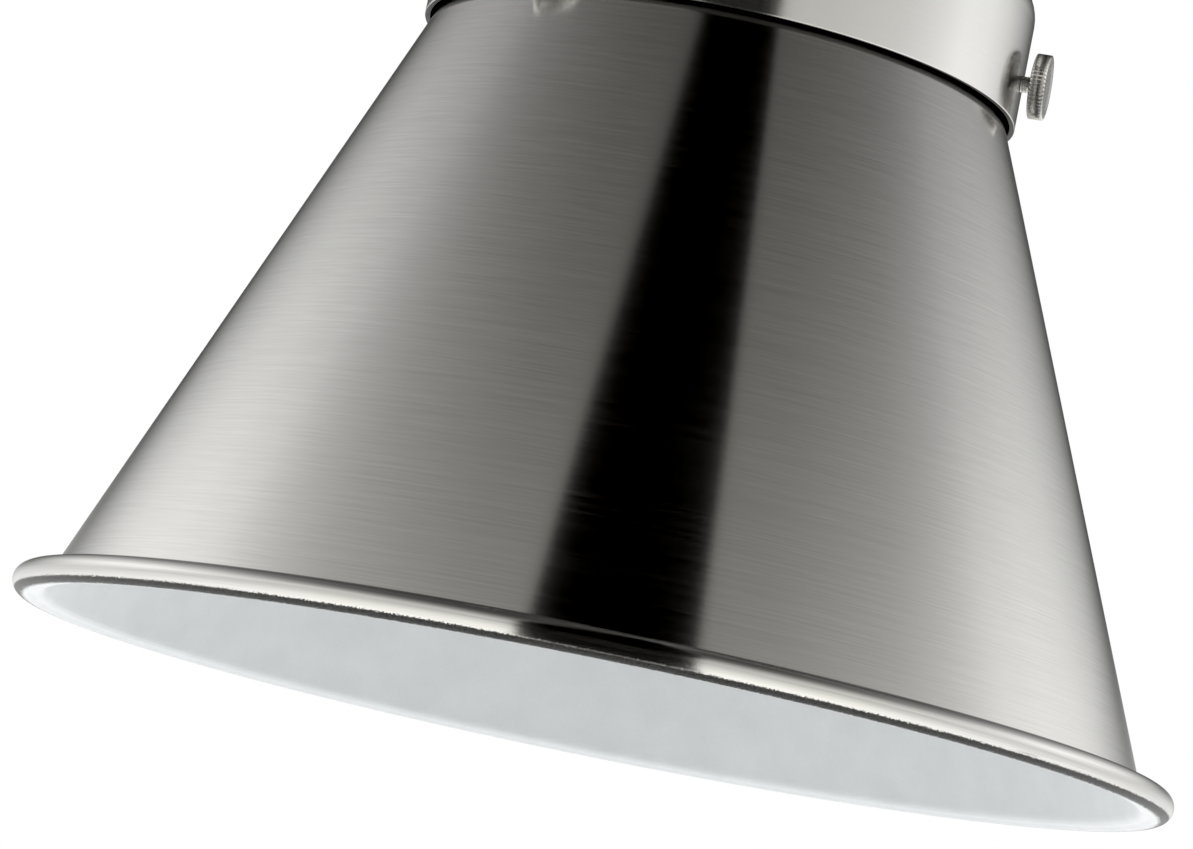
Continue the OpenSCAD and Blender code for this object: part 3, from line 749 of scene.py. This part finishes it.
# %% Three shade thumbscrews
screw_nickel = nickel_material("screw_nickel", 6.0, 1.5, rough=0.27, aniso=0.0)
shank = [(0, 50.7), (1.2, 50.7)]
shank += [(SHANK_R - (0.1 if i % 2 else 0), 51.0 + 0.25 * i) for i in range(14)]
grip = [(SHANK_R, 54.6), (SHANK_R, 54.75), (1.8, 54.9), (5.1, 54.9), (5.6, 55.0), (5.75, 55.15), (5.75, 57.5),
        (5.6, 57.65), (5.1, 57.7), (4.3, 57.7), (4.0, 57.6), (0.8, 57.55), (0, 57.55)]
for letter, turn in SCREW_TURNS.items():
    turned("thumbscrew_" + letter, shank + grip, screw_nickel, outward(turn, screw_z),
           ["shade_screw_" + letter], steps=192, closed=False, teeth=(48, 0.42, 5.5))

# %% [markdown]
# ## Husk and switch
# The husk is a small drawn cup over the bulb's socket. Four slots near its top let the heat
# out, and a knurled knob on its side turns the lamp on. The slots are cut after the spin.

# %% Husk and switch knob
HUSK_TALL = 48
HUSK_ROUND = 8
FLANGE_R = 29.5
husk_low, husk_top = holder_top, holder_top + HUSK_TALL
husk_round_r = HUSK_R - HUSK_ROUND
flange_top = husk_low + HUSK_WALL
husk_points = [(FLANGE_R - 0.2, husk_low + 0.02), (FLANGE_R, husk_low + 0.2), (FLANGE_R, flange_top - 0.2),
               (FLANGE_R - 0.2, flange_top), (HUSK_R + 0.8, flange_top), (HUSK_R + 0.3, flange_top + 0.15),
               (HUSK_R, flange_top + 0.7)]
husk_points += arc(husk_round_r, husk_top - HUSK_ROUND, HUSK_ROUND, 0, 90, 12)
husk_points += [(5.3, husk_top), (5.1, husk_top - 0.2), (5.1, husk_top - HUSK_WALL)]
husk_points += arc(husk_round_r, husk_top - HUSK_ROUND, HUSK_ROUND - HUSK_WALL, 90, 0, 12)
husk_points += [(mouth_r, husk_low + 0.02)]
husk = turned("husk_cup", even(husk_points, 6), nickel, head_place, ["husk"], steps=192)
socket_top = husk_top - HUSK_WALL - 3.7 - 0.6    # under the nut and a small gap
shaft_z = socket_top - 13
vent_z = husk_top - 18.5
drill(husk, [(outward(180, shaft_z), 4.0, 10, 26)],
      [(outward(a, vent_z), 1.6, 12, 26, 14.2) for a in (45, 135, 225, 315)])
knob = [(0, 9), (2.3, 9), (2.5, 9.2), (2.5, 22.8), (2.7, 23), (5.9, 23), (6.4, 23.4), (6.5, 23.6),
        (6.5, 31.4), (6.4, 31.6), (5.9, 32), (4.6, 32), (4.3, 31.8), (0, 31.8)]
turned("switch_knob_grip", knob, screw_nickel, outward(180, shaft_z), ["switch_knob"],
       steps=120, closed=False, teeth=(30, 0.5, 6.3))

# %% [markdown]
# ## Bulb
# The globe is blown glass with a white coating inside, so it looks like soft white plastic.
# Its neck meets a moulded housing, and the cap below is pressed brass sheet, tinned, with
# the thread rolled into it. The thread is drawn as plain rings.

# %% Bulb
BULB_LONG = 108
GLOBE_R = 30
GLASS = 1.2
frosted = grain_material("frosted_white", (0.86, 0.86, 0.83), (0.9, 0.9, 0.88), 0.45, grains=5, depth=0.004)
housing_white = grain_material("white_moulding", (0.82, 0.82, 0.8), (0.86, 0.86, 0.85), 0.35,
                               grains=3, depth=0.004)
tinned = grain_material("tinned_cap", (0.6, 0.6, 0.59), (0.72, 0.72, 0.7), 0.28, 1.0, grains=3, depth=0.004)
contact_z = socket_top - 20.5
tip_z = contact_z - BULB_LONG
neck_z = contact_z - 40
globe_z = tip_z + GLOBE_R
globe = arc(0, globe_z, GLOBE_R, -90, 25, 30)
globe += [(24.6, tip_z + 46.5), (20.5, tip_z + 54), (17.9, tip_z + 61), (17, neck_z)]
globe += [(15.8, neck_z), (16.8, tip_z + 61), (19.4, tip_z + 53.5), (23.5, tip_z + 46)]
globe += arc(0, globe_z, GLOBE_R - GLASS, 25, -90, 30)
turned("globe", [(abs(r), z) for r, z in globe], frosted, head_place, ["bulb_globe"], closed=False)
neck = [(0, neck_z - 3), (14.6, neck_z - 3), (14.8, neck_z - 2.8), (14.8, neck_z), (16.2, neck_z),
        (16.6, neck_z + 0.4), (13.6, neck_z + 10.6), (13.2, neck_z + 11), (11.9, neck_z + 11),
        (11.9, neck_z + 28), (0, neck_z + 28)]
turned("bulb_neck", neck, housing_white, head_place, ["bulb_housing"], closed=False)
cap_z = neck_z + 11.3
thread = [(12.65 + 0.4 * math.cos(math.pi * i / 4), cap_z + 1.2 + 0.45 * i) for i in range(41)]
cap = [(11.98, cap_z)] + thread + [(12.4, cap_z + 19.6), (8, contact_z - 3), (5.5, contact_z - 3),
                                 (5.5, contact_z - 4), (8, contact_z - 4.4), (11.98, cap_z + 18)]
turned("bulb_thread", cap, tinned, head_place, ["bulb_cap"])

# %% [markdown]
# ## Pole
# Two thin tubes slide one in the other. A collar on top of the outer tube holds a plastic
# bushing that the inner tube runs in, and a knurled screw in its side locks the height.
# A spigot on the inner tube carries the arm, so that it can swing round.

# %% Pole
OUTER_R, OUTER_BORE = 9.525, 8.325
INNER_R, INNER_BORE = 6.35, 5.35
COLLAR_Z = 772
pole_nickel = nickel_material("pole_nickel", 3.0, 1.2, rough=0.24, aniso=0.55)
black_moulded = grain_material("black_moulding", (0.02, 0.02, 0.022), (0.045, 0.045, 0.05), 0.42,
                               grains=3, depth=0.02)


def pole_tube(name, bore, r, low, high, replaced):
    ends = rounded([(bore, low), (r, low), (r, high), (bore, high)], 0.2)
    tube = turned(name, ends, pole_nickel, upright, [replaced])
    tube.visible_glossy = False    # the head doesn't mirror it, as if the tent hid it


pole_tube("pole_outer", OUTER_BORE, OUTER_R, 33.2, 766, "outer_pole")
pole_tube("pole_inner", INNER_BORE, INNER_R, 480, 1354, "inner_pole")

# %% Collar, bushing and lock screw
ring = [(9.625, 752), (14.025, 752), (14.025, 778), (9.025, 778), (9.025, 766.2), (9.625, 766.2)]
ring = rounded(ring, [0.3, 1.0, 1.5, 0.2, 0, 0], 5)
lock_ring = turned("lock_ring", ring, nickel, upright, ["lock_collar"])
across = Matrix.Translation((0, 0, COLLAR_Z * MM)) @ Matrix.Rotation(math.pi / 2, 4, "Y")
drill(lock_ring, [(across, 2.05, 5, 18)])
sleeve = [(6.4, 766.3), (8.925, 766.3), (8.925, 777.7), (6.4, 777.7)]
turned("lock_sleeve", rounded(sleeve, 0.3), black_moulded, upright, ["lock_bushing"])
knob = [(0, 9.3), (1.8, 9.3), (2.0, 9.5), (2.0, 15), (4.0, 15.05), (4.2, 15.25), (4.2, 17.2), (7.8, 17.25),
        (8.4, 17.7), (8.5, 17.9), (8.5, 24.6), (8.4, 24.8), (7.8, 25.2), (6.0, 25.2), (5.6, 24.8), (0, 24.7)]
turned("lock_knob", knob, screw_nickel, across, ["lock_screw"], steps=160, closed=False, teeth=(40, 0.5, 8.3))

# %% Spigot and arm cap
CAP_R = 16    # the dome's own radius
spigot = [(6.45, 1340), (8.55, 1340), (9.55, 1341), (9.55, 1353.5), (11.5, 1355.5), (11.5, 1356.5),
          (6, 1356.5), (6, 1385), (3, 1385), (3, 1354.1), (6.45, 1354.1)]
turned("spigot", rounded(spigot, 0.3), nickel, upright, ["pole_spigot"])
dome = [(CAP_R * math.cos(a), 1374.3 + CAP_R * math.sin(a))
        for a in [math.radians(44.6 + 45.4 * i / 12) for i in range(12)]]
arm_cap = [(0, 1385.25), (6.1, 1385.25), (6.1, 1382.3), (11.2, 1382.3), (11.45, 1382.6)]
arm_cap += dome + [(0, 1390.3)]
turned("arm_cap", arm_cap, nickel, upright, ["hub_cap"], closed=False)

# %% [markdown]
# ## Base
# A heavy iron disc stands on a rubber pad under a thin spun cover. The cover's top rises a
# little to the middle, so it stays stiff and looks light. The cord comes in through a
# bushing at the edge, and a turned ferrule closes the foot of the pole.

# %% Base
BASE_R = 127
EDGE_ROUND = 5
EDGE_Z = 16    # where the round edge starts
INLET_Z = 9
base_nickel = nickel_material("base_nickel", 2.5, 6.0, rough=0.22, aniso=0.65)
cover = [(125.8, 1.3), (126.0, 1.2), (126.8, 1.2), (BASE_R, 1.4), (BASE_R, EDGE_Z)]
cover += arc(BASE_R - EDGE_ROUND, EDGE_Z, EDGE_ROUND, 6, 86, 12)
cover += [(24.5, 26.95), (23.5, 27), (6.7, 27), (6.5, 26.8), (6.5, 25.8), (24, 25.8), (121.8, 19.85)]
cover += arc(BASE_R - EDGE_ROUND, EDGE_Z, EDGE_ROUND - 1.2, 84, 0, 8)
base_shell = turned("base_shell", even(cover, 8), base_nickel, upright, ["base_cover"], steps=256)
inlet = Matrix.Translation((BASE_R * MM, 0, INLET_Z * MM)) @ Matrix.Rotation(math.pi / 2, 4, "Y")
drill(base_shell, [(inlet, 4.6, -8, 4)])
bush = [(3.1, -4), (5.3, -4), (4.5, -2), (4.5, 0), (6, 0), (6, 1), (5.3, 2), (3.1, 2)]
turned("cord_inlet_bush", rounded(bush, 0.3), black_moulded, inlet, ["cord_bushing"], steps=64)
ferrule = [(6.5, 27), (19, 27), (19, 31), (14.025, 37), (12.525, 45), (9.625, 45), (9.625, 33), (6.5, 33)]
ferrule = rounded(ferrule, [0, 0.3, 1.5, 2.5, 0.8, 0.2, 0, 0], 5)
turned("foot_ferrule", ferrule, nickel, upright, ["pole_ferrule"])
rubber = grain_material("foam_rubber", (0.025, 0.025, 0.027), (0.055, 0.055, 0.058), 0.8,
                        grains=1.5, depth=0.08)
pad = [(0, 0), (124.4, 0), (124.9, 0.3), (125, 0.8), (125, 2.4), (124.6, 3), (0, 3)]
turned("foot_pad", pad, rubber, upright, ["base_pad"], steps=192, closed=False)

# %% [markdown]
# ## Arm
# The arm is one tube, bent round a wheel so that it leaves the pole level and then turns
# down to the head. It is drawn by carrying a ring of points along that path.

# %% Arm tube
RING = 64
REACH = 300
ARM_Z = 1370
ARM_FOOT = 1290
BEND_R = 55
HUB_SEAT = 13.5    # from the pole's axis to the tube's end in the hub
rise = ARM_Z - BEND_R - ARM_FOOT
bend = BEND_R * math.pi / 2
level_part = REACH - BEND_R - HUB_SEAT
arm_long = rise + bend + level_part


def arm_path(s):
    """Place on the arm's middle line, s mm from its foot, and one direction across it."""
    if s < rise:
        return Vector((-REACH, 0, ARM_FOOT + s)), Vector((1, 0, 0))
    if s < rise + bend:
        a = (s - rise) / BEND_R
        at = Vector((BEND_R * (1 - math.cos(a)) - REACH, 0, ARM_Z - BEND_R * (1 - math.sin(a))))
        return at, Vector((math.cos(a), 0, -math.sin(a)))
    return Vector((BEND_R - REACH + s - rise - bend, 0, ARM_Z)), Vector((0, 0, -1))


def swept(name, loop, mat, replaced):
    """Carries a closed loop of (radius, distance) along the arm's path."""
    bm = bmesh.new()
    uv_layer = bm.loops.layers.uv.new("turn")
    far = section_lengths(loop + loop[:1])
    rings = []
    for r, s in loop:
        at, across_way = arm_path(s)
        rings.append([bm.verts.new((at + r * (math.cos(2 * math.pi * i / RING) * across_way
                                              + math.sin(2 * math.pi * i / RING) * Vector((0, 1, 0)))) * MM)
                      for i in range(RING)])
    for n in range(len(rings)):
        a, b = rings[n], rings[(n + 1) % len(rings)]
        for i in range(RING):
            j = (i + 1) % RING
            f = bm.faces.new((a[i], a[j], b[j], b[i]))
            for l, uv in zip(f.loops, ((i, far[n]), (i + 1, far[n]), (i + 1, far[n + 1]), (i, far[n + 1]))):
                l[uv_layer].uv = (uv[0] / RING, uv[1] * MM)
    bmesh.ops.recalc_face_normals(bm, faces=bm.faces)
    obj = finish_piece(bm, name, mat, upright, body_of[replaced[0]], replaced)
    print(name, len(obj.data.polygons), "faces")


stations = [0.15] + [rise * i / 4 for i in range(1, 5)] + [rise + bend * i / 40 for i in range(1, 41)]
stations += [rise + bend + level_part * i / 12 for i in range(1, 12)] + [arm_long - 0.15]
arm_loop = [(INNER_R - 0.15, 0)] + [(INNER_R, s) for s in stations]
arm_loop += [(INNER_R - 0.15, arm_long), (INNER_BORE + 0.15, arm_long)]
arm_loop += [(INNER_BORE, s) for s in reversed(stations)] + [(INNER_BORE + 0.15, 0)]
swept("arm_bent_tube", arm_loop, pole_nickel, ["arm_tube"])
ferrule = [(5.05, 1272.3), (9.5, 1272.3), (9.5, 1297), (7.55, 1300), (6.45, 1300), (6.45, 1286), (5.05, 1286)]
turned("arm_end_ring", rounded(ferrule, [0.2, 0.8, 1.5, 0.5, 0.2, 0, 0], 5), nickel,
       Matrix.Translation((-REACH * MM, 0, 0)), ["arm_ferrule"])

# %% [markdown]
# ## Knuckle and hub
# The fork, the tongue, the hub and the pin and nut of the pivot are cut from solid metal
# and polished, and their edges are broken with a small bevel. Each is a clean copy of its
# CAD part with those bevels. Polishing leaves no rings, so their finish is the even grain.

# %% Cut parts with broken edges
cut_nickel = grain_material("polished_nickel", (0.61, 0.604, 0.59), (0.69, 0.684, 0.67), 0.2, 1.0,
                            grains=2.5, depth=0.002)


def broken_edges(node, name, mat, width):
    bm = bmesh.new()
    bm.from_mesh(nodes[node].data)
    bmesh.ops.transform(bm, matrix=nodes[node].matrix_world, verts=bm.verts)
    bmesh.ops.remove_doubles(bm, verts=bm.verts, dist=2e-6)
    bmesh.ops.dissolve_limit(bm, angle_limit=math.radians(1), verts=bm.verts, edges=bm.edges)
    sharp = [e for e in bm.edges if e.is_manifold and e.calc_face_angle(0) > math.radians(35)]
    bmesh.ops.bevel(bm, geom=sharp, offset=width * MM, offset_type="OFFSET", segments=2, profile=0.5,
                    affect="EDGES", clamp_overlap=False, material=-1)
    bmesh.ops.triangulate(bm, faces=bm.faces)
    obj = finish_piece(bm, name, mat, upright, body_of[node], [node], 30)
    print(name, len(obj.data.polygons), "faces")


broken_edges("head_fork", "fork", cut_nickel, 0.3)
broken_edges("head_tongue", "tongue", cut_nickel, 0.3)
broken_edges("swivel_hub", "hub", cut_nickel, 0.3)
broken_edges("pivot_screw", "pivot_pin", cut_nickel, 0.15)
broken_edges("pivot_nut", "pivot_cap_nut", cut_nickel, 0.15)

# %% [markdown]
# ## Parts that stay as they are
# The nuts, washers, contacts and the iron weight are inside or very small. They keep their
# CAD shape and get the finish of what they are made of.

# %% Finishes for the rest
finishes = {
    "iron": grain_material("raw_casting", (0.06, 0.06, 0.062), (0.14, 0.14, 0.14), 0.65, 0.6,
                           grains=1.0, depth=0.15),
    "brass": grain_material("plain_brass", (0.62, 0.44, 0.18), (0.78, 0.6, 0.3), 0.3, 1.0,
                            grains=3, depth=0.004),
    "zinc": grain_material("zinc_plate", (0.5, 0.51, 0.53), (0.62, 0.63, 0.64), 0.34, 1.0, depth=0.004),
    "black_plastic": black_moulded,
    "nylon": grain_material("nylon_moulding", (0.72, 0.71, 0.66), (0.8, 0.79, 0.74), 0.45),
    "black_steel": grain_material("blackened_steel", (0.03, 0.03, 0.032), (0.07, 0.07, 0.072), 0.4, 0.8),
    "nickel": cut_nickel,
}
taken = set()
for name, obj in nodes.items():
    if slot_of[name] in finishes:
        obj.data.materials.clear()
        obj.data.materials.append(finishes[slot_of[name]])
        taken.add(name)
print(len(taken), "parts given a finish")
